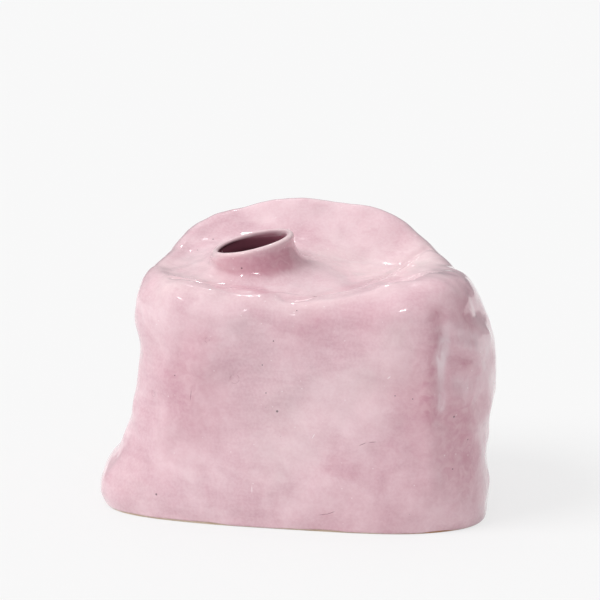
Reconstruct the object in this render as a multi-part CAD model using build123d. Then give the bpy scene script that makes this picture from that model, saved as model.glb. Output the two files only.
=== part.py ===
from build123d import *
import math
import os

# Pillow vase: a hand-built stoneware vase, made of rolled clay slabs that are luted
# together along coiled seams, with a short neck left of the middle of a dished top.
# The front faces -Y, +Z is up, and the origin is under the body on the surface it stands on.

os.makedirs("parts", exist_ok=True)

# Size of the body
body_width = 240.0
body_depth = 152.0
body_height = 182.0

# Thickness of the clay
slab_thickness = 6.2
floor_thickness = 7.0
neck_wall = 4.0

# The neck, measured at its mouth: it stands left of the middle on the sloping top, close
# behind the front ridge and higher, and its mouth is tilted up to the right and the back
neck_radius = 25.5
neck_length = 11.0
neck_aside_share = 0.106
neck_gap = 7.0
neck_foot_rise = 6.5
foot_tilt = 8.0
mouth_tilt = 13.0
mouth_back_tilt = 4.0
oval_share = 0.94
rim_rounding = 1.5

# Soft clay coils pressed into the seams, and the one that blends the neck into the top
coil_width = 7.0
coil_height = 9.0
root_coil_height = 3.2

# Depth of the seam between walls and top, below the ridge
seam_drop = 20.0

# How far cutting shapes run past what they cut
overrun = 12.0

# Stations round the body, counter-clockwise from the front: place as shares of the
# body's width and depth, and height of the ridge above it as a share of the height.
STATION_SHARES = {
    "front": (0.000, -0.490, 0.805),
    "front, towards the right": (0.260, -0.490, 0.810),
    "front right": (0.440, -0.370, 0.825),
    "right": (0.500, -0.025, 0.820),
    "back right": (0.400, 0.305, 0.845),
    "back, towards the right": (0.225, 0.480, 0.943),
    "back": (0.000, 0.507, 0.980),
    "back, towards the left": (-0.233, 0.475, 0.937),
    "back left": (-0.408, 0.310, 0.890),
    "left": (-0.490, -0.025, 0.824),
    "front left": (-0.440, -0.325, 0.806),
    "front, towards the left": (-0.250, -0.460, 0.804),
}

# Levels up the walls: share of the ridge's height, and how far the front, right, back
# and left sides stand out from the stations, as shares of the body's width.
WALL_SHARES = (
    (0.000, -0.004, -0.018, -0.004, -0.004),
    (0.040, 0.000, -0.014, 0.000, 0.004),
    (0.120, 0.004, -0.014, 0.004, 0.008),
    (0.240, 0.000, -0.018, 0.000, -0.034),
    (0.400, -0.004, -0.012, -0.008, -0.086),
    (0.550, -0.004, 0.000, -0.012, -0.118),
    (0.700, 0.000, -0.006, -0.016, -0.123),
    (0.830, 0.000, -0.030, -0.025, -0.106),
    (0.920, -0.012, -0.056, -0.042, -0.112),
    (0.975, -0.042, -0.082, -0.066, -0.126),
    (1.000, -0.084, -0.130, -0.100, -0.150),
)

# Levels across the top, from the ridge to the foot of the neck: share of that way, and
# how far the top sags there, as a share of the way's length.
TOP_SHARES = (
    (0.30, 0.07),
    (0.60, 0.07),
    (0.85, 0.03),
)

# Levels up the neck, below its rounded rim: share of its radius, share of its length, and
# how far the flared foot reaches to the right, as a share of the radius.
NECK_SHARES = (
    (1.30, 0.00, 0.25),
    (1.12, 0.25, 0.09),
    (1.03, 0.55, 0.02),
    (1.00, 0.85, 0.00),
)

# Rings worked out between each two levels of these tables, so that the skin curves
RINGS_BETWEEN = 1

# The lining that the seam coils are cut from follows this many levels up the walls.
LINING_LEVELS = 8

# The seam between walls and top follows the ridge at these stations, from front to back.
SEAM_STATIONS = ("front", "right", "back right", "back")


def ridge_height(station):
    return STATION_SHARES[station][2] * body_height


def plan_point(station):
    x_share, y_share, ridge_share = STATION_SHARES[station]
    return Vector(x_share * body_width, y_share * body_depth)


def plan_outward(station):
    """The level direction that faces out of the body at a station."""
    names = list(STATION_SHARES)
    place = names.index(station)
    along = plan_point(names[(place + 1) % len(names)]) - plan_point(names[place - 1])
    return Vector(along.Y, -along.X).normalized()


def standing_out(direction, front, right, back, left):
    """How far a side stands out, blended between the two sides that the direction faces."""
    across = (right if direction.X > 0 else left) * direction.X**2
    through = (back if direction.Y > 0 else front) * direction.Y**2
    return (across + through) * body_width


def wall_point(station, level_share, sides_shares):
    direction = plan_outward(station)
    place = plan_point(station) + direction * standing_out(direction, *sides_shares)
    return place + Vector(0, 0, ridge_height(station) * level_share)


def wall_ring(level_share, sides_shares):
    return [wall_point(station, level_share, sides_shares) for station in STATION_SHARES]


def neck_place():
    """Where the middle of the neck is in plan: its foot stands a gap behind the front ridge."""
    level_share, *sides_shares = WALL_SHARES[-1]
    front_ridge = wall_point("front", level_share, sides_shares)
    foot_radius = neck_radius * NECK_SHARES[0][0] * oval_share
    return Vector(-neck_aside_share * body_width, front_ridge.Y + neck_gap + foot_radius)


def neck_plane(level_share, shift):
    """The plane of a level of the neck. It follows the slope of the top at the foot, and
    tilts up to the right and a little to the back at the mouth."""
    rise_right = math.tan(math.radians(mouth_tilt)) * level_share
    back_tilt = foot_tilt + (mouth_back_tilt - foot_tilt) * level_share
    rise_back = math.tan(math.radians(back_tilt))
    height = ridge_height("front") + neck_foot_rise + neck_length * level_share
    origin = neck_place() + Vector(shift, 0, height + shift * rise_right)
    return Plane(origin, x_dir=(1, 0, rise_right), z_dir=(-rise_right, -rise_back, 1))


def oval_ring(plane, radius):
    """One point for each station, so that the rings of the neck follow the body's."""
    ring = []
    for station in range(len(STATION_SHARES)):
        angle = math.radians(-90 + 360 * station / len(STATION_SHARES))
        place = (radius * math.cos(angle), radius * oval_share * math.sin(angle), 0)
        ring.append(plane.from_local_coords(Vector(*place)))
    return ring


def neck_rings(depth, rounding):
    """The skin of the neck from foot to rim, at a depth in the clay, and drawn in at the
    rim by its rounding."""
    rings = []
    for radius_share, level_share, shift_share in NECK_SHARES:
        plane = neck_plane(level_share, neck_radius * shift_share)
        rings.append(oval_ring(plane, neck_radius * radius_share - depth))
    rim = oval_ring(neck_plane(1, 0), neck_radius - depth - rounding)
    return rings + [rim]


def top_ring(ridge_ring, foot_ring, way_share, sag_share):
    ring = []
    for ridge, foot in zip(ridge_ring, foot_ring):
        way = foot - ridge
        ring.append(ridge + way * way_share - Vector(0, 0, way.length * sag_share))
    return ring


def across_top(ridge_ring, foot_ring):
    return [top_ring(ridge_ring, foot_ring, way, sag) for way, sag in TOP_SHARES]


def body_rings():
    """The outer skin of the body, from the sole up the walls and over the ridge to the
    flat ring that the neck stands on."""
    walls = [wall_ring(level, sides) for level, *sides in WALL_SHARES]
    foot = neck_rings(0, 0)[0]
    return walls + across_top(walls[-1], foot) + [foot]


def inset(rings, depth):
    """Each ring moved into the clay, square to the skin, by a depth."""
    moved = []
    for level, ring in enumerate(rings):
        below = rings[max(level - 1, 0)]
        above = rings[min(level + 1, len(rings) - 1)]
        row = []
        for station, point in enumerate(ring):
            along = ring[(station + 1) % len(ring)] - ring[station - 1]
            up = above[station] - below[station]
            row.append(point - along.cross(up).normalized() * depth)
        moved.append(row)
    return moved


def moved_to(ring, height):
    return [Vector(point.X, point.Y, height) for point in ring]


def moved_up(ring, rise):
    return [point + Vector(0, 0, rise) for point in ring]


def hollow_rings():
    """The inner skin of the body, flat at the bottom and under the neck."""
    skin = body_rings()
    sole, *sides = inset(skin, slab_thickness)[:len(WALL_SHARES)]
    ceiling = moved_up(skin[-1], -slab_thickness)
    return [moved_to(sole, 0), *sides, *across_top(sides[-1], ceiling), ceiling]


def lining_rings():
    """The inner side of a lining of coil laid on the walls, up past the ridge."""
    rings = inset(body_rings(), slab_thickness + coil_width)[:LINING_LEVELS]
    return [moved_to(rings[0], 0), *rings[1:], moved_to(rings[-1], body_height)]


def ring_between(before, start, end, after, way_share):
    """A ring on the way from one ring to the next, on a smooth curve that leaves each in
    line with the rings on both sides of it."""
    rest_share = 1 - way_share
    ring = []
    for a, b, c, d in zip(before, start, end, after):
        leaving = (c - a) / 2 * way_share * rest_share**2
        arriving = (d - b) / 2 * way_share**2 * rest_share
        from_start = b * rest_share**2 * (1 + 2 * way_share)
        from_end = c * way_share**2 * (1 + 2 * rest_share)
        ring.append(from_start + from_end + leaving - arriving)
    return ring


def curved_through(rings):
    full = []
    for level in range(len(rings) - 1):
        before = rings[max(level - 1, 0)]
        after = rings[min(level + 2, len(rings) - 1)]
        for step in range(RINGS_BETWEEN + 1):
            way_share = step / (RINGS_BETWEEN + 1)
            full.append(ring_between(before, rings[level], rings[level + 1], after, way_share))
    return full + [rings[-1]]


def loft_through(rings):
    wires = [Wire([Edge.make_spline(ring, periodic=True)]) for ring in rings]
    return Solid.make_loft(wires, ruled=True)


def neck_bore():
    """The hole through the neck, run on past its rim."""
    rings = curved_through(neck_rings(neck_wall, -rim_rounding))
    return loft_through([*rings, moved_up(rings[-1], overrun)])


def slab_hole():
    """The round hole cut through the top slab under the neck, run past both its faces."""
    foot_share, level_share, shift_share = NECK_SHARES[0]
    radius = neck_radius * foot_share * oval_share - neck_wall
    plane = neck_plane(level_share, neck_radius * shift_share)
    return plane * Cylinder(radius, 2 * (slab_thickness + overrun))


def under_collar():
    """All of the neck that the coil at its root takes up."""
    plane = neck_plane(root_coil_height / neck_length, 0)
    width = 4 * neck_radius
    return plane * Pos(0, 0, -overrun / 2) * Box(width, width, overrun)


def block(bottom, top):
    """A block wider than the body, between two heights."""
    width = body_width + 2 * overrun
    depth = body_depth + 2 * overrun
    centre = Vector(0, 0, (bottom + top) / 2)
    return Pos(centre) * Box(width, depth, top - bottom)


def above_seam(lowered):
    """All that lies above the seam between walls and top, or above that seam lowered."""
    reach = body_depth / 2 + overrun
    heights = [ridge_height(station) - seam_drop - lowered for station in SEAM_STATIONS]
    places = [plan_point(station).Y for station in SEAM_STATIONS]
    line = list(zip(places, heights))
    line[0] = (-reach, heights[0])
    line[-1] = (reach, heights[-1])
    roof = body_height + neck_length + overrun
    profile = Polyline(*line, (reach, roof), (-reach, roof), close=True)
    sketch = Plane.YZ * make_face(profile)
    return extrude(sketch, body_width / 2 + overrun, both=True)


def wedge(first, last):
    """An upright wedge from the middle of the body out past two stations."""
    reach_share = 2
    ends = [plan_point(station) * reach_share for station in (first, last)]
    face = make_face(Polyline(Vector(0, 0), *ends, close=True))
    return extrude(face, body_height)


def corner_strip(station):
    """An upright strip across the inside of a corner, as wide as a coil, that reaches in
    past the coil where the wall draws in most."""
    direction = plan_outward(station)
    drawn_in = max(-standing_out(direction, *sides) for level, *sides in WALL_SHARES)
    length = drawn_in + slab_thickness + coil_width + overrun
    turn = math.degrees(math.atan2(direction.Y, direction.X))
    middle = plan_point(station) - direction * length / 2
    return Pos(middle.X, middle.Y, body_height / 2) * Rot(0, 0, turn) * Box(
        length, coil_width, body_height
    )


def save(shape, name):
    export_step(shape, f"parts/{name}.step")


def build():
    hollow = loft_through(curved_through(hollow_rings())) & block(floor_thickness, body_height)
    clay = loft_through(curved_through(body_rings())) - hollow
    under_floor_line = block(-overrun, floor_thickness)
    floor_slab = clay & under_floor_line
    risen = clay - under_floor_line
    walls = risen - above_seam(0)

    neck = loft_through(curved_through(neck_rings(0, rim_rounding))) - neck_bore()
    lining = hollow - loft_through(curved_through(lining_rings()))
    floor_coil = lining & block(floor_thickness, floor_thickness + coil_height)
    shoulder_coil = (lining - above_seam(0)) & above_seam(coil_height)
    between = lining - block(0, floor_thickness + coil_height) - above_seam(coil_height)

    pieces = {
        "floor_slab": floor_slab,
        "front_wall": walls & wedge("front left", "front right"),
        "right_wall": walls & wedge("front right", "back right"),
        "back_wall": walls & wedge("back right", "back left"),
        "left_wall": walls & wedge("back left", "front left"),
        "top_slab": (risen & above_seam(0)) - slab_hole(),
        "neck_root_coil": neck & under_collar(),
        "neck_collar": neck - under_collar(),
        "floor_seam_coil": floor_coil,
        "shoulder_seam_coil": shoulder_coil,
        "front_right_seam_coil": between & corner_strip("front right"),
        "back_right_seam_coil": between & corner_strip("back right"),
        "back_left_seam_coil": between & corner_strip("back left"),
        "front_left_seam_coil": between & corner_strip("front left"),
    }
    for name, piece in pieces.items():
        save(piece, name)


build()
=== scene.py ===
import math

import bpy
import numpy as np
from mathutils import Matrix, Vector


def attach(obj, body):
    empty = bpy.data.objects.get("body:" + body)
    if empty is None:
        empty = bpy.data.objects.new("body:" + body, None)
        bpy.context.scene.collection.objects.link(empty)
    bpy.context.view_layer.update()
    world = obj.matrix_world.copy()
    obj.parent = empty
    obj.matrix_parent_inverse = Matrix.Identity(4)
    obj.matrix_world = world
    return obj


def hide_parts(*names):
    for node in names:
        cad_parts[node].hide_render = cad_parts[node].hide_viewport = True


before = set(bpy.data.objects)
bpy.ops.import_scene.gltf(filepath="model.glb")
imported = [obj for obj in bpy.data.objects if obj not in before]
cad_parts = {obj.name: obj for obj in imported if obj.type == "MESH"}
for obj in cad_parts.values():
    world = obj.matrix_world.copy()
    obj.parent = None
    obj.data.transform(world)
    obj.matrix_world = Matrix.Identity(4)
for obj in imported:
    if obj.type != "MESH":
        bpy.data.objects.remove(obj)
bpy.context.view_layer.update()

# Pillow vase: a hand-built stoneware vase with a glossy, mottled pink glaze.
# All lengths are in metres. The front faces -Y and +Z is up.

# Size of the body and its clay
BODY_WIDTH = 0.240
BODY_DEPTH = 0.152
BODY_HEIGHT = 0.182
SLAB = 0.0062
FLOOR = 0.0070
NECK_WALL = 0.0044

# The neck, measured at its mouth
NECK_RADIUS = 0.0255
NECK_LENGTH = 0.0110
NECK_ASIDE_SHARE = 0.113
NECK_GAP = 0.0095
NECK_FOOT_RISE = 0.0119
FOOT_TILT = 8.0
MOUTH_TILT = 13.0
MOUTH_BACK_TILT = 6.0
OVAL_SHARE = 0.94

# Stations round the body, counter-clockwise from the front: place as shares of the
# body's width and depth, and height of the ridge above it as a share of the height.
STATION_SHARES = np.array((
    (0.000, -0.490, 0.770),
    (0.260, -0.490, 0.800),
    (0.440, -0.370, 0.825),
    (0.500, -0.025, 0.820),
    (0.400, 0.305, 0.845),
    (0.225, 0.480, 0.950),
    (-0.020, 0.507, 0.977),
    (-0.233, 0.475, 0.948),
    (-0.408, 0.310, 0.878),
    (-0.490, -0.025, 0.824),
    (-0.440, -0.325, 0.806),
    (-0.250, -0.460, 0.798),
))
STATIONS = len(STATION_SHARES)

# Levels up the walls: share of the ridge's height, and how far the front, right, back
# and left sides stand out from the stations, as shares of the body's width.
WALL_SHARES = (
    (0.000, -0.004, -0.018, -0.004, -0.004),
    (0.040, 0.000, -0.014, 0.000, 0.004),
    (0.120, 0.004, -0.014, 0.004, 0.008),
    (0.240, 0.000, -0.018, 0.000, -0.044),
    (0.400, -0.004, -0.006, -0.008, -0.090),
    (0.550, -0.004, 0.010, -0.012, -0.118),
    (0.700, 0.000, 0.004, -0.016, -0.123),
    (0.830, 0.000, -0.030, -0.025, -0.106),
    (0.920, -0.012, -0.056, -0.042, -0.112),
    (0.975, -0.042, -0.082, -0.066, -0.126),
    (1.000, -0.084, -0.130, -0.100, -0.150),
)

# Levels across the top: share of the way to the neck, and sag as a share of that way
TOP_SHARES = ((0.30, 0.07), (0.60, 0.07), (0.85, 0.03))

# Levels up the neck: share of its radius, share of its length, and how far the flared
# foot reaches to the right, as a share of the radius
NECK_SHARES = (
    (1.23, -0.24, 0.21),
    (1.09, 0.06, 0.09),
    (1.03, 0.40, 0.02),
    (1.00, 0.66, 0.00),
)

# The near side of the mouth rises a little, and its left half is pinched a little
MOUTH_LIFT = 0.0006
MOUTH_PINCH_SHARE = 0.04

# The hole inside the neck hardly flares: share of the radius and reach to the right at
# each level of the neck
BORE_SHARES = ((1.08, 0.10), (1.03, 0.06), (1.01, 0.02), (1.00, 0.00))

# The lip where the bore meets the underside of the top, as shares of the size of the
# neck's foot, and how many rings it and the edge of the ceiling have together
LIP_SHARE = 0.82
UNDER_LIP_SHARE = 0.90
LIP_RINGS = 3

# Angles of the rings round the rounded rim, from outside to inside
RIM_ANGLES = (0, 30, 60, 90, 120, 150, 180)

# The floor inside: the first level of the walls above it, how high its rounded corner
# reaches, and the size of its rings as shares of that corner's
FIRST_INNER_LEVEL = 2
CORNER_RISE = 0.0030
FLOOR_SHARES = (0.95, 0.85, 0.50, 0.05)

# Fineness of the mesh: columns round the vase, and the height of a row outside and in
# the bore, on the rim, and on the rest of the inside
COLUMNS = 360
ROW_OUTSIDE = 0.00125
ROW_RIM = 0.0008
ROW_INSIDE = 0.0050

# Smoothing along the way up, which stops some rows short of the rim's inner edge
SMOOTH_TURNS = 12
SHARP_ROWS = 16

# Rows over which the relief fades out towards the rim's inner edge
FADE_ROWS = 20

# The glaze ends a little above the ground in a wavy rounded edge: its height, its waves,
# how far it rolls in and up, and the height over which its lift off the ground fades out
EDGE_HEIGHT = 0.0010
EDGE_WAVE = 0.0003
EDGE_WAVE_LENGTH = 0.030
EDGE_SEED = 21
EDGE_ROLL = 0.0006
EDGE_TUCK = EDGE_ROLL / 4
EDGE_ROUNDING = EDGE_ROLL / 3
EDGE_FADE = 0.0080

# The bare foot under it, set back behind the edge of the glaze
FOOT_TOP = 0.0016
FOOT_SET_BACK = 0.0007
FOOT_ROUNDING = 0.0007
FOOT_ANGLES = (0, 30, 60, 90)

# Size of the photograph in pixels. A point of the skin shows at a pixel if it lies less
# than this many pixels from it, and not much further back than the nearest one.
PHOTO_SIZE = 600
PIXEL_REACH = 3.0
NEIGHBOUR_DEPTH = 0.015

# The crease behind the front shoulder, from left to right
CREASE_PIXELS = (
    (172, 277), (204, 281.5), (226, 285), (246, 288), (264, 292.7), (286, 298.5),
    (309, 297), (331, 291.6), (353, 286), (375, 280.4), (393, 272.6), (411, 259), (427, 248),
)
CREASE_WIDTH = 0.0019
CREASE_DEPTH = 0.0012

# The soft roll of clay in front of the crease
ROLL_PIXELS = (
    (168, 288), (204, 292), (246, 299), (286, 308), (331, 302), (375, 293), (400, 284),
)
ROLL_WIDTH = 0.0050
ROLL_HEIGHT = 0.0011

# Ridges and hollows of the walls: pixels, width and height
RIDGE_LINES = (
    (((427, 318), (428, 360), (430, 420), (432, 480)), 0.0070, 0.0014),
    (((441, 326), (440, 352), (439, 385), (437, 418)), 0.0045, -0.0016),
    (((448, 321), (466, 329), (486, 333)), 0.0050, 0.0011),
    (((452, 355), (470, 356)), 0.0040, -0.0007),
    (((452, 369), (480, 370)), 0.0050, 0.0009),
    (((448, 402), (482, 402)), 0.0055, -0.0011),
    (((171, 310), (168, 360), (163, 425)), 0.0080, 0.0009),
    (((185, 320), (183, 390)), 0.0070, -0.0005),
    (((245, 415), (290, 382), (345, 352)), 0.0100, 0.0007),
    (((265, 330), (330, 328)), 0.0110, -0.0006),
    (((436, 440), (446, 500)), 0.0060, -0.0006),
)

# Swells and dents of the clay: pixel, radius and height
SWELL_PLACES = (
    ((300, 345), 0.040, -0.0011),
    ((230, 360), 0.022, 0.0007),
    ((190, 395), 0.024, 0.0010),
    ((250, 440), 0.030, 0.0010),
    ((345, 430), 0.028, -0.0007),
    ((390, 470), 0.026, 0.0008),
    ((160, 330), 0.014, -0.0008),
    ((150, 440), 0.018, -0.0010),
    ((407, 340), 0.018, 0.0011),
    ((460, 435), 0.018, -0.0010),
    ((474, 468), 0.014, 0.0010),
    ((345, 225), 0.020, -0.0011),
    ((300, 205), 0.018, 0.0008),
    ((225, 225), 0.012, 0.0008),
    ((400, 240), 0.012, -0.0011),
    ((330, 268), 0.010, 0.0007),
    ((181, 296), 0.007, 0.0008),
    ((209, 295), 0.006, 0.0008),
    ((325, 305), 0.009, 0.0007),
    ((384, 298), 0.008, 0.0008),
)

# Small dents and bumps of the glaze: pixel, radius and height
MARK_PLACES = (
    ((235, 378), 0.0030, -0.00060),
    ((249, 324), 0.0018, -0.00030),
    ((206, 341), 0.0020, 0.00030),
    ((153, 394), 0.0022, -0.00050),
    ((439, 410), 0.0022, -0.00055),
    ((438, 425), 0.0026, -0.00055),
    ((474, 495), 0.0030, -0.00055),
    ((190, 396), 0.0016, -0.00030),
    ((260, 430), 0.0016, 0.00030),
    ((308, 449), 0.0016, 0.00030),
    ((328, 514), 0.0028, -0.00055),
    ((369, 443), 0.0024, 0.00030),
    ((424, 449), 0.0016, 0.00030),
)

# Scratches and ticks in the glaze: pixel, half length, half width, turn in degrees and
# whether they are pale
SCRATCH_PLACES = (
    ((253.3, 489), 0.0026, 0.00032, 90, True),
    ((324, 515), 0.0034, 0.00028, 12, False),
    ((331, 512.5), 0.0036, 0.00028, 24, False),
    ((364, 444), 0.0030, 0.00030, 26, False),
    ((373, 442), 0.0028, 0.00028, 4, False),
    ((190, 396), 0.0040, 0.00026, 84, False),
    ((313, 437), 0.0022, 0.00026, 60, True),
    ((389, 378), 0.0016, 0.00030, 40, True),
)

# Small burst bubbles: pixel, and radius of the ring that each has left
BUBBLE_PLACES = (
    ((235, 378), 0.0027),
    ((206, 341), 0.0013),
    ((153, 394), 0.0018),
)
RING_WIDTH = 0.0004

# Dark specks in the glaze: pixel and radius
SPECK_PLACES = (
    ((277.4, 411.5), 0.00085),
    ((454, 417), 0.00075),
    ((157, 494), 0.00080),
    ((213, 238.6), 0.00070),
    ((198, 250), 0.00055),
    ((175, 375), 0.00050),
    ((263, 365.6), 0.00045),
    ((267.6, 393), 0.00045),
    ((273, 341.6), 0.00050),
    ((241.6, 268.6), 0.00060),
    ((295, 311), 0.00045),
    ((394, 395), 0.00045),
    ((413, 399), 0.00045),
    ((468, 440.5), 0.00055),
    ((453, 469.6), 0.00050),
)

# Where the upper middle of the front is greyer
GREY_PIXEL = (275, 360)
GREY_RADIUS = 0.040

# Lines of deeper pink: pixels, width and amount. They are the crease, where the glaze has
# pooled, and the foot of the neck, the right front corner and the front of the neck, where
# the glaze has pooled and shade is painted.
CREASE_SPREAD = 1.6
POOLED_AND_SHADE_LINES = (
    (CREASE_PIXELS, CREASE_WIDTH * CREASE_SPREAD, 0.30),
    (((232, 268), (252, 271), (272, 272), (292, 266), (306, 262)), 0.0050, 0.60),
    (((436, 312), (437, 350), (433, 385), (432, 415)), 0.0045, 0.60),
    (((222, 262), (240, 263), (262, 262), (282, 256), (294, 248)), 0.0080, 0.95),
)

# Spots of deeper pink: pixel, radius and amount. Those on the right side, which the light leaves
# darker, and those under the roll are painted shade.
DEEPER_PLACES = (
    ((468, 400), 0.060, 0.40),
    ((466, 438), 0.026, 0.45),
    ((470, 475), 0.014, 0.30),
    ((467, 312), 0.012, 0.75),
    ((468, 404), 0.012, 0.30),
    ((420, 372), 0.014, 0.28),
    ((201, 335), 0.014, 0.24),
    ((287, 345), 0.014, 0.24),
    ((465, 363), 0.004, 0.50),
    ((190, 362), 0.022, 0.40),
    ((192, 425), 0.020, 0.30),
    ((442, 485), 0.028, 0.22),
    ((310, 318), 0.014, 0.35),
    ((370, 316), 0.012, 0.25),
    ((195, 395), 0.028, 0.34),
    ((420, 400), 0.020, 0.30),
    ((350, 512), 0.032, 0.28),
    ((165, 450), 0.014, 0.20),
    ((250, 300), 0.012, 0.15),
)

# Where the glaze has run thin and is paler: the roll in front of the crease, and the rim of
# the neck, this many rows before its inner edge. Then spots that are paler: pixel, radius and
# amount
THIN_LINES = ((ROLL_PIXELS, ROLL_WIDTH, 0.30),)
THIN_RIM_ROWS = 4
THIN_RIM_WIDTH = 0.0019
PALER_PLACES = (
    ((370, 266), 0.028, 0.45),
    ((350, 270), 0.018, 0.45),
    ((428, 262), 0.018, 0.45),
    ((166, 266), 0.014, 0.50),
    ((166, 282), 0.013, 0.45),
    ((330, 256), 0.014, 0.40),
    ((388, 276), 0.018, 0.40),
    ((425, 244), 0.015, 0.40),
    ((300, 297), 0.013, 0.30),
    ((338, 295), 0.014, 0.40),
    ((394, 335), 0.009, 0.35),
    ((272, 476), 0.012, 0.25),
    ((205, 276), 0.024, 0.45),
    ((285, 425), 0.028, 0.40),
    ((372, 380), 0.020, 0.42),
    ((130, 485), 0.016, 0.35),
    ((150, 350), 0.012, 0.20),
    ((420, 262), 0.014, 0.40),
)

# Painted reflection on the right side, as pale streaks: pixels, width and amount, and the gain
# that fills out their middle
PAINTED_REFLECTION_LINES = (
    (((443, 344), (441, 358)), 0.0042, 0.75),
    (((441, 358), (440, 384), (441, 408)), 0.0024, 0.75),
    (((450, 332), (468, 340), (488, 345)), 0.0056, 0.50),
    (((458, 384), (482, 384)), 0.0056, 0.45),
)
PAINTED_REFLECTION_GAIN = 1.6

# The painted shade inside the neck: about how deep it has fully set in, and how many rows
# before the rim's inner edge it starts
INNER_SHADE_FADE = 0.0030
INNER_SHADE_RIM_ROWS = 3

# The corner of the foot that stands out to the right, and the one at the left: centre,
# push and radius
CORNER_SWELLS = (
    ((0.112, -0.040, 0.004), (0.0052, -0.0040, 0.0), 0.026),
    ((-0.108, -0.040, 0.000), (-0.0024, -0.0036, 0.0), 0.034),
)

# Uneven clay all over: length of the waves, height and seed, how many waves are added
# up, and the range of their lengths as shares
WAVES = ((0.060, 0.00055, 11), (0.026, 0.00036, 12), (0.011, 0.00008, 13))
WAVE_COUNT = 12
WAVE_SPREAD = (0.7, 1.4)

# The corner where the bare foot is toasted, as a pixel
TOASTED_PIXEL = (440, 526)

# Noises of the materials: length, detail, distortion, and the range that is spread to 0
# and 1
NOISES = {
    "clouds": (0.034, 2.5, 0.5, 0.34, 0.66),
    "blotches": (0.0110, 3.0, 0.5, 0.36, 0.66),
    "strokes": (0.0060, 3.0, 0.3, 0.35, 0.65),
    "crystals": (0.0016, 2.0, 0.0, 0.35, 0.65),
    "ragged": (0.0060, 4.0, 1.0, 0.25, 0.75),
    "wisps": (0.0070, 4.0, 1.0, 0.34, 0.62),
    "breaks": (0.0018, 2.0, 0.0, 0.40, 0.58),
    "inner clouds": (0.012, 4.0, 0.8, 0.35, 0.65),
    "clay clouds": (0.009, 4.0, 0.0, 0.35, 0.65),
}

# Brush strokes lie long and level, and the wisps of the painted reflection upright: how much
# the noise is squeezed along each axis
STROKE_STRETCH = (0.35, 0.35, 1.6)
WISP_STRETCH = (1.2, 1.2, 0.5)

# The least that ragged noise and wisps leave of what they break up
RAGGED_LEAST = 0.55
WISP_LEAST = 0.45

# The two colours of each material's clouds, as red, green and blue of 0 to 255
PINK_CLOUDS = (215, 172, 183), (236, 203, 210)
INNER_CLOUDS = (198, 158, 170), (216, 184, 192)
CLAY_CLOUDS = (226, 210, 188), (212, 190, 162)

# Coats of colour over the clouds: share, and red, green and blue
COATS = {
    "grey": (0.40, 206, 174, 182),
    "blotches": (0.30, 216, 168, 180),
    "strokes": (0.22, 240, 210, 215),
    "crystals": (0.16, 250, 230, 234),
    # Deep pink of pooled glaze, with painted shade at the neck, on the right side and under the
    # roll
    "pooled_and_shade": (0.85, 192, 126, 143),
    # Painted shade inside the neck
    "inside": (1.00, 132, 76, 90),
    # Painted reflection on the right side
    "painted_reflection": (1.00, 232, 208, 214),
    "thin": (0.75, 248, 226, 226),
    "pale specks": (0.55, 250, 236, 238),
    "dark dots": (0.55, 150, 112, 124),
    "specks": (0.75, 70, 52, 60),
    "bubbles": (0.45, 176, 122, 136),
    "pale scratches": (0.70, 255, 246, 248),
    "dark scratches": (0.70, 150, 96, 110),
    "inner dots": (0.50, 130, 98, 108),
    "toasted": (0.80, 186, 132, 88),
    "grit": (0.50, 128, 96, 72),
}

# Scattered specks: spacing, radius and share of the places that have one
SCATTERED = {
    "pale specks": (0.0060, 0.00055, 0.45),
    "dark dots": (0.0095, 0.00035, 0.30),
    "inner dots": (0.0080, 0.00045, 0.35),
    "grit": (0.0022, 0.00045, 0.30),
}

# Where specks and scratches start to fade, as a share of their size, and where the
# toasted corner does, and where it ends
SPECK_CORE = 0.6
SCRATCH_CORE = 0.5
TOASTED_REACH = (0.012, 0.034)

# Least and greatest roughness of each material, and the clear top of the pink glaze
PINK_ROUGHNESS = (0.11, 0.18)
INNER_ROUGHNESS = (0.22, 0.34)
CLAY_ROUGHNESS = (0.78, 0.92)
COAT_WEIGHT = 0.5
COAT_ROUGHNESS = 0.03

# Fine unevenness: length and detail of its noise, height and strength
RIPPLES = (0.0075, 2.0, 0.00035, 0.55)
FINE_RIPPLE_LENGTH = 0.0022
FINE_RIPPLE_SHARE = 0.18
INNER_GRAIN = (0.004, 3.0, 0.0003, 0.6)
CLAY_GRAIN = (0.0009, 3.0, 0.0002, 0.7)

# Sockets of a mix node for its two colours and its result
MIX_FIRST = 6
MIX_SECOND = 7
MIX_RESULT = 2

# Light: size and grey of the floor, how much of the floor that is seen glows by itself,
# the greys of the sky and the level where it is palest, and the sun
FLOOR_HALF = 40.0
FLOOR_GREY = (0.87, 0.87, 0.87)
BACKDROP_GREY = (0.939, 0.939, 0.939)
FLOOR_GLOW_SHARE = 0.75
FLOOR_ROUGHNESS = 0.9
HORIZON_GREY = (0.26, 0.26, 0.27)
ZENITH_GREY = (0.80, 0.80, 0.80)
ZENITH_LEVEL = 0.9
SUN_PLACE = (-1.3, -0.75, 1.6)
SUN_POWER = 1.8
SUN_ANGLE = 30.0

# The lamps that show in the gloss: name, place, size and power
WINDOW_TARGET = (0, -0.05, 0.13)
WINDOWS = (
    ("window_front", (0.20, -1.50, 1.60), (0.34, 0.06), 4.0),
    ("window_left", (-1.10, -0.90, 1.40), (0.30, 0.06), 3.4),
    ("window_back", (-0.32, 1.15, 1.62), (0.08, 0.022), 0.8),
)

# The photograph's camera: its angles in degrees, and its lens and sensor in millimetres
CAMERA_AZIMUTH = 9.0
CAMERA_ELEVATION = 12.5
CAMERA_DISTANCE = 1.4
CAMERA_LENS = 136.6
SENSOR = 36.0
CAMERA_TARGET = Vector((0, 0, 0.124))


def plan_points():
    """The stations seen from above."""
    return STATION_SHARES[:, :2] * (BODY_WIDTH, BODY_DEPTH)


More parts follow.
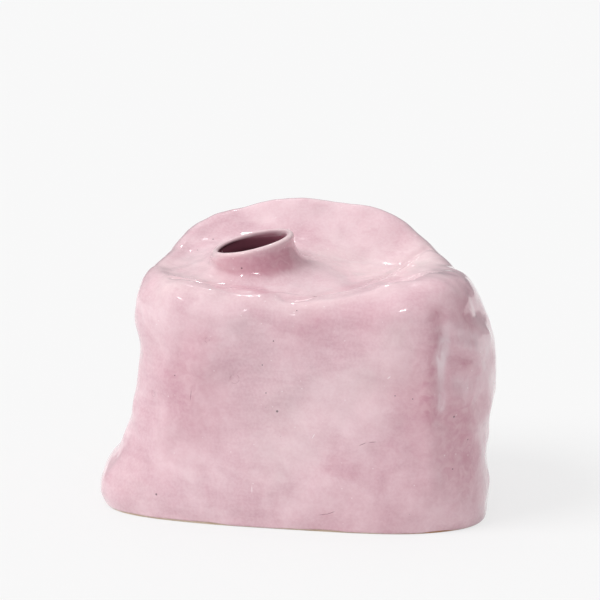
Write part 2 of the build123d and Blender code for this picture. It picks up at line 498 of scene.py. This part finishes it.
def plan_outward():
    """The level direction out of the body at each station."""
    points = plan_points()
    along = np.roll(points, -1, axis=0) - np.roll(points, 1, axis=0)
    outward = np.stack((along[:, 1], -along[:, 0]), axis=1)
    return outward / np.linalg.norm(outward, axis=1, keepdims=True)


def ridge_heights():
    """Height of the ridge above each station."""
    return STATION_SHARES[:, 2] * BODY_HEIGHT


def wall_ring(level, front, right, back, left):
    """The outer skin at one level of the walls."""
    outward = plan_outward()
    across = np.where(outward[:, 0] > 0, right, left) * outward[:, 0] ** 2
    through = np.where(outward[:, 1] > 0, back, front) * outward[:, 1] ** 2
    place = plan_points() + outward * ((across + through) * BODY_WIDTH)[:, None]
    return np.column_stack((place, ridge_heights() * level))


def neck_plane(level, shift):
    """Origin, two directions and normal of the plane of a level of the neck."""
    rise_right = math.tan(math.radians(MOUTH_TILT)) * level
    back_tilt = FOOT_TILT + (MOUTH_BACK_TILT - FOOT_TILT) * level
    rise_back = math.tan(math.radians(back_tilt))
    height = ridge_heights()[0] + NECK_FOOT_RISE + NECK_LENGTH * level
    front_ridge = wall_ring(*WALL_SHARES[-1])[0]
    foot_radius = NECK_RADIUS * NECK_SHARES[0][0] * OVAL_SHARE
    middle_x = -NECK_ASIDE_SHARE * BODY_WIDTH
    middle_y = front_ridge[1] + NECK_GAP + foot_radius
    origin = np.array((middle_x + shift, middle_y, height + shift * rise_right))
    across = np.array((1, 0, rise_right))
    across /= np.linalg.norm(across)
    normal = np.array((-rise_right, -rise_back, 1))
    normal /= np.linalg.norm(normal)
    return origin, across, np.cross(normal, across), normal


def oval_ring(level, shift, radius, rise=0.0):
    """A ring of the neck, or one that stands a rise above the level's plane."""
    origin, across, through, normal = neck_plane(level, shift)
    angle = np.radians(-90 + 360 * np.arange(STATIONS) / STATIONS)[:, None]
    pinch = 1 - MOUTH_PINCH_SHARE * np.clip(-np.cos(angle), 0, 1)
    sideways = across * np.cos(angle) + through * OVAL_SHARE * pinch * np.sin(angle)
    lift = MOUTH_LIFT * level * np.clip(-np.sin(angle), 0, 1)
    return origin + radius * sideways + normal * (rise + lift)


def across_top(ridge, foot):
    """Rings across the dished top, from the ridge to the foot of the neck."""
    way = foot - ridge
    length = np.linalg.norm(way, axis=1)
    down = np.zeros_like(way)
    rings = []
    for share, sag in TOP_SHARES:
        down[:, 2] = length * sag
        rings.append(ridge + way * share - down)
    return rings


def inset(rings, depth):
    """Each ring moved into the clay, square to the skin, by a depth."""
    moved = []
    for level, ring in enumerate(rings):
        along = np.roll(ring, -1, axis=0) - np.roll(ring, 1, axis=0)
        up = rings[min(level + 1, len(rings) - 1)] - rings[max(level - 1, 0)]
        outward = np.cross(along, up)
        outward /= np.linalg.norm(outward, axis=1, keepdims=True)
        moved.append(ring - outward * depth)
    return moved


def outside_rings():
    """The outer skin, from the sole up the walls and the neck to the start of its rim."""
    walls = [wall_ring(*shares) for shares in WALL_SHARES]
    neck = [
        oval_ring(level, NECK_RADIUS * shift, NECK_RADIUS * radius)
        for radius, level, shift in NECK_SHARES
    ]
    return walls + across_top(walls[-1], neck[0]) + neck


def rim_rings():
    """The rounded rim of the neck, from outside to inside."""
    half = NECK_WALL / 2
    rings = []
    for angle in np.radians(RIM_ANGLES):
        radius = NECK_RADIUS - half + half * math.cos(angle)
        rings.append(oval_ring(1, 0, radius, half * (math.sin(angle) - 1)))
    return rings


def shrunk(ring, share):
    """A ring drawn in towards its middle."""
    middle = ring.mean(axis=0)
    return middle + (ring - middle) * share


def inside_rings():
    """The inner skin, from the neck's bore under the top and down to the floor."""
    outer = outside_rings()
    walls = inset(outer, SLAB)[FIRST_INNER_LEVEL:len(WALL_SHARES)]
    neck_foot = outer[-len(NECK_SHARES)]
    ceiling = neck_foot - (0, 0, SLAB)
    lip = shrunk(neck_foot - (0, 0, SLAB / 2), LIP_SHARE)
    under = shrunk(ceiling, UNDER_LIP_SHARE)
    bore = [
        oval_ring(neck[1], NECK_RADIUS * shift, NECK_RADIUS * radius - NECK_WALL)
        for neck, (radius, shift) in zip(NECK_SHARES, BORE_SHARES)
    ]
    top = across_top(walls[-1], ceiling)
    down = bore[:0:-1] + [lip, under, ceiling] + top[::-1] + walls[::-1]
    corner = walls[0].copy()
    corner[:, 2] = FLOOR + CORNER_RISE
    floor = [corner * (share, share, 0) + (0, 0, FLOOR) for share in FLOOR_SHARES]
    return down + [corner] + floor


def round_the_vase(rings):
    """Smooth closed curves, as cubic splines, through the stations of each ring, with as
    many points as columns."""
    rings = np.array(rings)
    index = np.arange(STATIONS)
    system = 4 * np.eye(STATIONS)
    system[index, index - 1] = 1
    system[index - 1, index] = 1
    turn = np.roll(rings, 1, 1) - 2 * rings + np.roll(rings, -1, 1)
    bend = np.einsum("ij,rjk->rik", np.linalg.inv(system), 6 * turn)
    way = np.arange(COLUMNS) * STATIONS / COLUMNS
    near = way.astype(int)
    after = (near + 1) % STATIONS
    late = (way - near)[None, :, None]
    early = 1 - late
    curved = (early**3 * bend[:, near] + late**3 * bend[:, after]) / 6
    start = (rings[:, near] - bend[:, near] / 6) * early
    end = (rings[:, after] - bend[:, after] / 6) * late
    return curved + start + end


def slope_at(before, here, after):
    """The direction of the skin at a ring, by its rings before and after."""
    back = np.linalg.norm(here - before, axis=-1, keepdims=True)
    ahead = np.linalg.norm(after - here, axis=-1, keepdims=True)
    return ((after - here) * back / ahead + (here - before) * ahead / back) / (back + ahead)


def up_the_vase(rings, row_height):
    """Smooth curves from ring to ring, in rows of about one height."""
    first = 2 * rings[0] - rings[1]
    last = 2 * rings[-1] - rings[-2]
    full = [first, *rings, last]
    rows = []
    for before, start, end, after in zip(full, full[1:], full[2:], full[3:]):
        reach = np.linalg.norm(end - start, axis=-1, keepdims=True)
        leaving = slope_at(before, start, end) * reach
        arriving = slope_at(start, end, after) * reach
        steps = max(1, round(reach.mean() / row_height))
        for step in range(steps):
            way = step / steps
            rest = 1 - way
            point = start * (1 + 2 * way) * rest**2 + end * (1 + 2 * rest) * way**2
            rows.append(point + leaving * way * rest**2 - arriving * way**2 * rest)
    return rows + [rings[-1]]


def grid_mesh(name, grid):
    """A mesh of rows round the vase, closed at both ends."""
    rows, columns = grid.shape[:2]
    index = np.arange(rows * columns).reshape(rows, columns)
    beside = np.roll(index, -1, axis=1)
    quads = np.stack((index[:-1], beside[:-1], beside[1:], index[1:]), axis=-1)
    faces = quads.reshape(-1, 4).tolist()
    faces += [index[0][::-1].tolist(), index[-1].tolist()]
    mesh = bpy.data.meshes.new(name)
    mesh.from_pydata(grid.reshape(-1, 3).tolist(), [], faces)
    mesh.shade_smooth()
    piece = bpy.data.objects.new(name, mesh)
    bpy.context.scene.collection.objects.link(piece)
    return piece


def skin_grid():
    """All rows of the skin, and how many of them are outside or on the rim."""
    outside = round_the_vase(outside_rings())
    rim = round_the_vase(rim_rings())
    inside = round_the_vase(inside_rings())
    rows = up_the_vase(list(outside) + [rim[0]], ROW_OUTSIDE)[:-1]
    rows += up_the_vase(list(rim), ROW_RIM)[:-1]
    seen_rows = len(rows)
    bore_rings = len(NECK_SHARES) - 1 + LIP_RINGS
    rows += up_the_vase([rim[-1], *inside[:bore_rings]], ROW_OUTSIDE)[:-1]
    rows += up_the_vase(list(inside[bore_rings - 1:]), ROW_INSIDE)
    return np.array(rows), seen_rows


def grid_normals(grid):
    """The direction out of the clay at each point of the grid."""
    along = np.roll(grid, -1, axis=1) - np.roll(grid, 1, axis=1)
    up = np.gradient(grid, axis=0)
    normals = np.cross(along, up)
    return normals / np.linalg.norm(normals, axis=2, keepdims=True)


def camera_axes():
    """The directions to the right, up and back of the camera."""
    azimuth = math.radians(CAMERA_AZIMUTH)
    elevation = math.radians(CAMERA_ELEVATION)
    right = np.array((math.cos(azimuth), math.sin(azimuth), 0))
    back = np.array((
        math.sin(azimuth) * math.cos(elevation),
        -math.cos(azimuth) * math.cos(elevation),
        math.sin(elevation),
    ))
    return right, np.cross(back, right), back


def pixels_of(points):
    """Where points show in the photograph."""
    right, up, back = camera_axes()
    away = points - np.array(CAMERA_TARGET)
    focus = PHOTO_SIZE * CAMERA_LENS / SENSOR / (CAMERA_DISTANCE - away @ back)
    half = PHOTO_SIZE / 2
    return np.stack((half + focus * (away @ right), half - focus * (away @ up)), axis=-1)


def seen_at(grid, pixel):
    """The place on the skin that shows at a pixel of the photograph."""
    right, up, back = camera_axes()
    camera = np.array(CAMERA_TARGET) + back * CAMERA_DISTANCE
    offset = np.linalg.norm(pixels_of(grid) - pixel, axis=2)
    depth = np.linalg.norm(grid - camera, axis=2)
    nearest = depth[offset < PIXEL_REACH].min()
    offset[depth > nearest + NEIGHBOUR_DEPTH] = np.inf
    return grid.reshape(-1, 3)[offset.argmin()]


def distance_to_line(points, places):
    """How far each point is from the line through some places."""
    nearest = np.full(points.shape[:-1], np.inf)
    for start, end in zip(places[:-1], places[1:]):
        way = end - start
        share = np.clip((points - start) @ way / (way @ way), 0, 1)
        gap = np.linalg.norm(points - start - share[..., None] * way, axis=-1)
        nearest = np.minimum(nearest, gap)
    return nearest


def bell(distance, width):
    """1 at no distance, fading softly to 0 over about two widths."""
    return np.exp(-((distance / width) ** 2))


def near_line(grid, pixels, width):
    """How near each point is to the line that shows at some pixels."""
    places = [seen_at(grid, pixel) for pixel in pixels]
    return bell(distance_to_line(grid, places), width)


def near_pixel(grid, pixel, radius):
    """How near each point is to the place that shows at a pixel."""
    return bell(np.linalg.norm(grid - seen_at(grid, pixel), axis=2), radius)


def waves(points, length, seed):
    """Uneven waves of about one length, in all directions."""
    random = np.random.default_rng(seed)
    total = np.zeros(points.shape[:-1])
    for wave in range(WAVE_COUNT):
        direction = random.normal(size=3)
        direction /= np.linalg.norm(direction)
        turn = 2 * math.pi / (length * random.uniform(*WAVE_SPREAD))
        total += np.sin(points @ direction * turn + random.uniform(0, 2 * math.pi))
    return total / math.sqrt(WAVE_COUNT / 2)


def swollen_corners(grid):
    """The grid with the corners of its foot pushed out."""
    moved = grid.copy()
    for centre, push, radius in CORNER_SWELLS:
        weight = bell(np.linalg.norm(grid - np.array(centre), axis=2), radius)
        moved += weight[..., None] * np.array(push)
    return moved


def relief(grid):
    """Height of the hand-made unevenness over the smooth skin."""
    height = np.zeros(grid.shape[:2])
    for length, size, seed in WAVES:
        height += size * waves(grid, length, seed)
    for pixel, radius, size in SWELL_PLACES + MARK_PLACES:
        height += size * near_pixel(grid, pixel, radius)
    height -= CREASE_DEPTH * near_line(grid, CREASE_PIXELS, CREASE_WIDTH)
    height += ROLL_HEIGHT * near_line(grid, ROLL_PIXELS, ROLL_WIDTH)
    for pixels, width, size in RIDGE_LINES:
        height += size * near_line(grid, pixels, width)
    return height


def edge_heights(points):
    """Height of the glaze's lower edge at points round the foot."""
    return EDGE_HEIGHT + EDGE_WAVE * waves(points, EDGE_WAVE_LENGTH, EDGE_SEED)


def softened(grid, rows):
    """The grid with its first rows smoothed along the way up, all but their two ends."""
    soft = grid.copy()
    for turn in range(SMOOTH_TURNS):
        soft[1:rows] = (soft[:rows - 1] + 2 * soft[1:rows] + soft[2:rows + 1]) / 4
    return soft


def shaped_skin():
    """The skin with its relief, its glaze edge lifted off the ground, and the smooth foot."""
    grid, seen_rows = skin_grid()
    grid = softened(grid, seen_rows - SHARP_ROWS)
    grid = swollen_corners(grid)
    fade = np.clip((seen_rows - np.arange(len(grid))) / FADE_ROWS, 0, 1)
    calm = np.clip(grid[..., 2] / EDGE_FADE, 0, 1)
    height = relief(grid) * fade[:, None] * calm
    sole = grid[0].copy()
    shaped = grid + grid_normals(grid) * height[..., None]
    lifted = edge_heights(sole)[None] * np.clip(1 - shaped[..., 2] / EDGE_FADE, 0, 1)
    lifted[seen_rows:] = 0
    shaped[..., 2] += lifted
    outward = grid_normals(grid)[0] * (1, 1, 0)
    rolled = shaped[0] - outward * EDGE_ROLL
    rolled[:, 2] += EDGE_TUCK
    shaped[0] += (0, 0, EDGE_ROUNDING)
    under = shaped[0] - outward * EDGE_ROUNDING - (0, 0, EDGE_ROUNDING)
    return np.concatenate((rolled[None], under[None], shaped)), seen_rows + 2, sole, outward


def painted(piece, name, values):
    """Stores a number for each point of a piece, for its material."""
    layer = piece.data.attributes.new(name, "FLOAT", "POINT")
    layer.data.foreach_set("value", np.ascontiguousarray(values, dtype=np.float32).ravel())


def lines_on(outside, lines):
    """Soft lines on the skin, each with its width and amount."""
    return sum(amount * near_line(outside, pixels, width) for pixels, width, amount in lines)


def spots_on(outside, places):
    """Soft spots on the skin, each with its radius and amount."""
    return sum(amount * near_pixel(outside, pixel, radius) for pixel, radius, amount in places)


def paint_skin(piece, grid, seen_rows):
    """Layers of the skin: pooled glaze with painted shade, thin glaze and paler spots, grey, the
    painted reflection on the right side, and the painted shade inside the neck.
    """
    outside = grid[:seen_rows]
    names = ("pooled_and_shade", "thin", "grey", "inside", "painted_reflection")
    layers = {name: np.zeros(grid.shape[:2]) for name in names}
    # Pooled glaze, and painted shade at the neck, on the right side and under the roll
    layers["pooled_and_shade"][:seen_rows] = lines_on(outside, POOLED_AND_SHADE_LINES)
    layers["pooled_and_shade"][:seen_rows] += spots_on(outside, DEEPER_PLACES)
    rim = distance_to_line(grid, list(grid[seen_rows - THIN_RIM_ROWS]))
    layers["thin"] += bell(rim, THIN_RIM_WIDTH)
    layers["thin"][:seen_rows] += lines_on(outside, THIN_LINES)
    layers["thin"][:seen_rows] += spots_on(outside, PALER_PLACES)
    layers["grey"][:seen_rows] = near_pixel(outside, GREY_PIXEL, GREY_RADIUS)
    # Painted shade inside the neck, deepening below the rim
    depth = (np.arange(len(grid)) - seen_rows + INNER_SHADE_RIM_ROWS) * ROW_RIM
    layers["inside"] += (depth / INNER_SHADE_FADE)[:, None]
    # Painted reflection on the right side
    for pixels, width, amount in PAINTED_REFLECTION_LINES:
        streak = np.clip(near_line(outside, pixels, width) * PAINTED_REFLECTION_GAIN, 0, 1)
        layers["painted_reflection"][:seen_rows] += amount * streak
    for name, values in layers.items():
        painted(piece, name, np.clip(values, 0, 1))


def build_skin(grid, seen_rows):
    """The glazed outside and the inside of the vase, as one closed piece."""
    piece = grid_mesh("glazed_skin", grid)
    paint_skin(piece, grid, seen_rows)
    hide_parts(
        "front_wall", "right_wall", "back_wall", "left_wall",
        "top_slab", "neck_root_coil", "neck_collar",
    )
    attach(piece, "root")
    return piece


def build_foot(sole, outward):
    """The bare clay of the foot, with its lower edge rounded off."""
    rows = []
    for angle in np.radians(FOOT_ANGLES):
        back = FOOT_SET_BACK + FOOT_ROUNDING * (1 - math.sin(angle))
        row = sole - outward * back
        row[:, 2] = FOOT_ROUNDING * (1 - math.cos(angle))
        rows.append(row)
    top = rows[-1].copy()
    top[:, 2] = FOOT_TOP
    piece = grid_mesh("bare_foot", np.array([*rows, top]))
    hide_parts("floor_slab")
    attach(piece, "root")
    return piece


def tint(red, green, blue):
    """A colour of a shader, from its red, green and blue of 0 to 255 on a screen."""
    linear = []
    for part in (red, green, blue):
        share = part / 255
        linear.append(share / 12.92 if share <= 0.04045 else ((share + 0.055) / 1.055) ** 2.4)
    return (*linear, 1.0)


def new_material(name):
    """A material, its node tree and its shader."""
    material = bpy.data.materials.new(name)
    material.use_nodes = True
    return material, material.node_tree, material.node_tree.nodes["Principled BSDF"]


def feed(tree, socket, value):
    """Links a socket to another, or sets its value."""
    if isinstance(value, bpy.types.NodeSocket):
        tree.links.new(value, socket)
    else:
        socket.default_value = value


def coated(tree, colour, mask, name):
    """A colour under a coat, which covers it by its share where the mask is 1."""
    share, *coat = COATS[name]
    return mixed(tree, maths(tree, "MULTIPLY", mask, share), colour, tint(*coat))


def place_on(tree):
    """Where a point lies on the piece."""
    return tree.nodes.new("ShaderNodeTexCoord").outputs["Object"]


def noise(tree, length, detail, distortion=0.0, stretch=(1, 1, 1)):
    """Cloudy noise whose blotches are about one length across, and flatter if stretched."""
    made = tree.nodes.new("ShaderNodeTexNoise")
    place = tree.nodes.new("ShaderNodeMapping")
    feed(tree, place.inputs["Vector"], place_on(tree))
    feed(tree, place.inputs["Scale"], stretch)
    feed(tree, made.inputs["Vector"], place.outputs[0])
    feed(tree, made.inputs["Scale"], 1 / length)
    feed(tree, made.inputs["Detail"], detail)
    feed(tree, made.inputs["Distortion"], distortion)
    return made.outputs[0]


def between(tree, value, low, high, to_low=0.0, to_high=1.0):
    """A value spread smoothly from one range to another."""
    made = tree.nodes.new("ShaderNodeMapRange")
    made.interpolation_type = "SMOOTHSTEP"
    for name, number in (
        ("Value", value), ("From Min", low), ("From Max", high),
        ("To Min", to_low), ("To Max", to_high),
    ):
        feed(tree, made.inputs[name], number)
    return made.outputs["Result"]


def clouded(tree, name, least=0.0, stretch=(1, 1, 1)):
    """One of the noises, spread from its least to 1."""
    length, detail, distortion, low, high = NOISES[name]
    made = noise(tree, length, detail, distortion, stretch)
    return between(tree, made, low, high, least, 1.0)


def maths(tree, operation, first, second):
    """The result of an operation on two numbers."""
    made = tree.nodes.new("ShaderNodeMath")
    made.operation = operation
    feed(tree, made.inputs[0], first)
    feed(tree, made.inputs[1], second)
    return made.outputs[0]


def mixed(tree, share, first, second):
    """A mix of two colours, with a share of the second."""
    made = tree.nodes.new("ShaderNodeMix")
    made.data_type = "RGBA"
    feed(tree, made.inputs[0], share)
    feed(tree, made.inputs[MIX_FIRST], first)
    feed(tree, made.inputs[MIX_SECOND], second)
    return made.outputs[MIX_RESULT]


def layer_of(tree, name):
    """The numbers painted on the piece under a name."""
    made = tree.nodes.new("ShaderNodeAttribute")
    made.attribute_name = name
    return made.outputs["Fac"]


def bump(tree, shader, height, distance, strength):
    """Gives a shader fine unevenness that only the light shows."""
    made = tree.nodes.new("ShaderNodeBump")
    feed(tree, made.inputs["Height"], height)
    feed(tree, made.inputs["Distance"], distance)
    feed(tree, made.inputs["Strength"], strength)
    tree.links.new(made.outputs["Normal"], shader.inputs["Normal"])


def length_of(tree, vector):
    """How long a vector is."""
    made = tree.nodes.new("ShaderNodeVectorMath")
    made.operation = "LENGTH"
    feed(tree, made.inputs[0], vector)
    return made.outputs["Value"]


def distance_from(tree, place):
    """How far a point of the piece lies from a place."""
    made = tree.nodes.new("ShaderNodeVectorMath")
    made.operation = "DISTANCE"
    feed(tree, made.inputs[0], place_on(tree))
    feed(tree, made.inputs[1], tuple(place))
    return made.outputs["Value"]


def speck_at(tree, place, radius):
    """1 on a speck at a place, and 0 away from it."""
    return between(
        tree, distance_from(tree, place), radius * SPECK_CORE, radius, 1.0, 0.0)


def bubble_at(tree, place, radius):
    """1 on a thin ring round a place, and 0 away from it."""
    distance = distance_from(tree, place)
    outer = between(tree, distance, radius, radius + RING_WIDTH, 1.0, 0.0)
    inner = between(tree, distance, radius - RING_WIDTH, radius)
    return maths(tree, "MULTIPLY", outer, inner)


def scratch_at(tree, place, half_length, half_width, turn):
    """1 on a thin scratch through a place, turned in the plane of the front."""
    around = tree.nodes.new("ShaderNodeMapping")
    around.vector_type = "TEXTURE"
    feed(tree, around.inputs["Vector"], place_on(tree))
    feed(tree, around.inputs["Location"], tuple(place))
    feed(tree, around.inputs["Rotation"], (0, -math.radians(turn), 0))
    feed(tree, around.inputs["Scale"], (half_length, half_length, half_width))
    return between(tree, length_of(tree, around.outputs[0]), SCRATCH_CORE, 1.0, 1.0, 0.0)


def scattered_specks(tree, name):
    """Small specks, in a share of the cells of a loose grid."""
    spacing, radius, share = SCATTERED[name]
    cells = tree.nodes.new("ShaderNodeTexVoronoi")
    feed(tree, cells.inputs["Vector"], place_on(tree))
    feed(tree, cells.inputs["Scale"], 1 / spacing)
    spot = between(tree, cells.outputs["Distance"], radius / spacing / 2, radius / spacing, 1, 0)
    parts = tree.nodes.new("ShaderNodeSeparateColor")
    tree.links.new(cells.outputs["Color"], parts.inputs[0])
    chosen = maths(tree, "LESS_THAN", parts.outputs[0], share)
    return maths(tree, "MULTIPLY", spot, chosen)


def specks_and_marks(tree, colour, grid):
    """The glaze's colour with its dark specks, burst bubbles and scratches."""
    for pixel, radius in SPECK_PLACES:
        speck = speck_at(tree, seen_at(grid, pixel), radius)
        colour = coated(tree, colour, speck, "specks")
    breaks = clouded(tree, "breaks")
    for pixel, radius in BUBBLE_PLACES:
        ring = bubble_at(tree, seen_at(grid, pixel), radius)
        colour = coated(tree, colour, maths(tree, "MULTIPLY", ring, breaks), "bubbles")
    for pixel, half_length, half_width, turn, pale in SCRATCH_PLACES:
        scratch = scratch_at(tree, seen_at(grid, pixel), half_length, half_width, turn)
        colour = coated(tree, colour, scratch, "pale scratches" if pale else "dark scratches")
    return colour


def pink_glaze(grid):
    """Glossy pink glaze: cloudy, with fine crystals, specks, pools and thin edges, painted shade
    in the neck and on the right side, and a painted reflection on the right side.
    """
    material, tree, shader = new_material("pink_glaze")
    dark, light = PINK_CLOUDS
    blotches = clouded(tree, "blotches")
    ragged = clouded(tree, "ragged", RAGGED_LEAST)
    masks = {
        "grey": layer_of(tree, "grey"),
        "blotches": blotches,
        "strokes": clouded(tree, "strokes", stretch=STROKE_STRETCH),
        "crystals": clouded(tree, "crystals"),
        # Pooled glaze with painted shade
        "pooled_and_shade": maths(tree, "MULTIPLY", layer_of(tree, "pooled_and_shade"), ragged),
        # Painted shade inside the neck
        "inside": layer_of(tree, "inside"),
        # Painted reflection on the right side
        "painted_reflection": maths(
            tree, "MULTIPLY", layer_of(tree, "painted_reflection"),
            clouded(tree, "wisps", WISP_LEAST, WISP_STRETCH)),
        "thin": maths(tree, "MULTIPLY", layer_of(tree, "thin"), ragged),
        "pale specks": scattered_specks(tree, "pale specks"),
        "dark dots": scattered_specks(tree, "dark dots"),
    }
    colour = mixed(tree, clouded(tree, "clouds"), tint(*dark), tint(*light))
    for name, mask in masks.items():
        colour = coated(tree, colour, mask, name)
    feed(tree, shader.inputs["Base Color"], specks_and_marks(tree, colour, grid))
    roughness = between(tree, blotches, 0.0, 1.0, *PINK_ROUGHNESS)
    feed(tree, shader.inputs["Roughness"], roughness)
    shader.inputs["Coat Weight"].default_value = COAT_WEIGHT
    shader.inputs["Coat Roughness"].default_value = COAT_ROUGHNESS
    length, detail, height, strength = RIPPLES
    fine = noise(tree, FINE_RIPPLE_LENGTH, detail)
    ripples = maths(
        tree, "ADD", noise(tree, length, detail),
        maths(tree, "MULTIPLY", fine, FINE_RIPPLE_SHARE))
    bump(tree, shader, ripples, height, strength)
    return material


def inner_glaze():
    """The thinner glaze on the coils inside."""
    material, tree, shader = new_material("inner_glaze")
    dark, light = INNER_CLOUDS
    clouds = clouded(tree, "inner clouds")
    colour = mixed(tree, clouds, tint(*dark), tint(*light))
    colour = coated(tree, colour, scattered_specks(tree, "inner dots"), "inner dots")
    feed(tree, shader.inputs["Base Color"], colour)
    feed(tree, shader.inputs["Roughness"], between(tree, clouds, 0.0, 1.0, *INNER_ROUGHNESS))
    length, detail, height, strength = INNER_GRAIN
    bump(tree, shader, noise(tree, length, detail), height, strength)
    return material


def bare_clay(toasted):
    """Matt buff clay, toasted orange-brown near one corner."""
    material, tree, shader = new_material("bare_clay")
    pale, deep = CLAY_CLOUDS
    clouds = clouded(tree, "clay clouds")
    colour = mixed(tree, clouds, tint(*pale), tint(*deep))
    near = between(tree, distance_from(tree, toasted), *TOASTED_REACH, 1.0, 0.0)
    colour = coated(tree, colour, near, "toasted")
    colour = coated(tree, colour, scattered_specks(tree, "grit"), "grit")
    feed(tree, shader.inputs["Base Color"], colour)
    feed(tree, shader.inputs["Roughness"], between(tree, clouds, 0.0, 1.0, *CLAY_ROUGHNESS))
    length, detail, height, strength = CLAY_GRAIN
    bump(tree, shader, noise(tree, length, detail), height, strength)
    return material


def dress_coils(material):
    """Gives the coils in the seams inside their glaze."""
    for name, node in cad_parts.items():
        if name.endswith("seam_coil"):
            node.data.materials.clear()
            node.data.materials.append(material)


def add_camera():
    """The camera of the photograph."""
    back = Vector(camera_axes()[2])
    data = bpy.data.cameras.new("camera")
    data.lens = CAMERA_LENS
    data.sensor_width = SENSOR
    camera = bpy.data.objects.new("camera", data)
    camera.location = CAMERA_TARGET + back * CAMERA_DISTANCE
    camera.rotation_euler = back.to_track_quat("Z", "Y").to_euler()
    bpy.context.scene.collection.objects.link(camera)
    bpy.context.scene.camera = camera


def floor_material():
    """Pale floor: the camera sees it mostly lit by itself, so that its shadow stays faint."""
    material, tree, shader = new_material("pale_floor")
    shader.inputs["Base Color"].default_value = (*FLOOR_GREY, 1)
    shader.inputs["Roughness"].default_value = FLOOR_ROUGHNESS
    shader.inputs["Specular IOR Level"].default_value = 0.0
    glow = tree.nodes.new("ShaderNodeEmission")
    glow.inputs["Color"].default_value = (*BACKDROP_GREY, 1)
    rays = tree.nodes.new("ShaderNodeLightPath")
    seen = maths(tree, "ADD", rays.outputs["Is Camera Ray"], rays.outputs["Is Glossy Ray"])
    seen = maths(tree, "MINIMUM", seen, 1.0)
    share = maths(tree, "MULTIPLY", seen, FLOOR_GLOW_SHARE)
    both = tree.nodes.new("ShaderNodeMixShader")
    feed(tree, both.inputs[0], share)
    feed(tree, both.inputs[1], shader.outputs[0])
    feed(tree, both.inputs[2], glow.outputs[0])
    tree.links.new(both.outputs[0], tree.nodes["Material Output"].inputs["Surface"])
    return material


def add_floor():
    """A wide floor, which is no part of the vase."""
    half = FLOOR_HALF
    mesh = bpy.data.meshes.new("floor")
    corners = [(-half, -half, 0), (half, -half, 0), (half, half, 0), (-half, half, 0)]
    mesh.from_pydata(corners, [], [(0, 1, 2, 3)])
    floor = bpy.data.objects.new("floor", mesh)
    mesh.materials.append(floor_material())
    bpy.context.scene.collection.objects.link(floor)


def add_world():
    """Soft light from all round, stronger from above."""
    world = bpy.data.worlds.new("studio")
    world.use_nodes = True
    tree = world.node_tree
    parts = tree.nodes.new("ShaderNodeSeparateXYZ")
    tree.links.new(tree.nodes.new("ShaderNodeTexCoord").outputs["Generated"], parts.inputs[0])
    height = between(tree, parts.outputs["Z"], 0.0, ZENITH_LEVEL)
    light = tree.nodes["Background"]
    feed(tree, light.inputs["Color"], mixed(
        tree, height, (*HORIZON_GREY, 1), (*ZENITH_GREY, 1)))
    bpy.context.scene.world = world


def add_light(name, kind, place, target, power):
    """A light at a place, turned towards a target."""
    data = bpy.data.lights.new(name, kind)
    data.energy = power
    light = bpy.data.objects.new(name, data)
    light.location = place
    way = Vector(place) - Vector(target)
    light.rotation_euler = way.to_track_quat("Z", "Y").to_euler()
    bpy.context.scene.collection.objects.link(light)
    return light


def add_sun():
    """Soft light from the upper left."""
    sun = add_light("sun", "SUN", SUN_PLACE, (0, 0, 0), SUN_POWER)
    sun.data.angle = math.radians(SUN_ANGLE)
    sun.visible_glossy = False


def add_windows():
    """Small bright lamps, which show in the gloss."""
    for name, place, size, power in WINDOWS:
        window = add_light(name, "AREA", place, WINDOW_TARGET, power)
        window.data.shape = "RECTANGLE"
        window.data.size, window.data.size_y = size
        window.visible_diffuse = False
        window.visible_camera = False


grid, seen_rows, sole, outward = shaped_skin()
skin = build_skin(grid, seen_rows)
skin.data.materials.append(pink_glaze(grid[:seen_rows]))
foot = build_foot(sole, outward)
foot.data.materials.append(bare_clay(seen_at(grid[:seen_rows], TOASTED_PIXEL)))
dress_coils(inner_glaze())
add_camera()
add_floor()
add_world()
add_sun()
add_windows()
bpy.context.scene.view_settings.view_transform = "Standard"
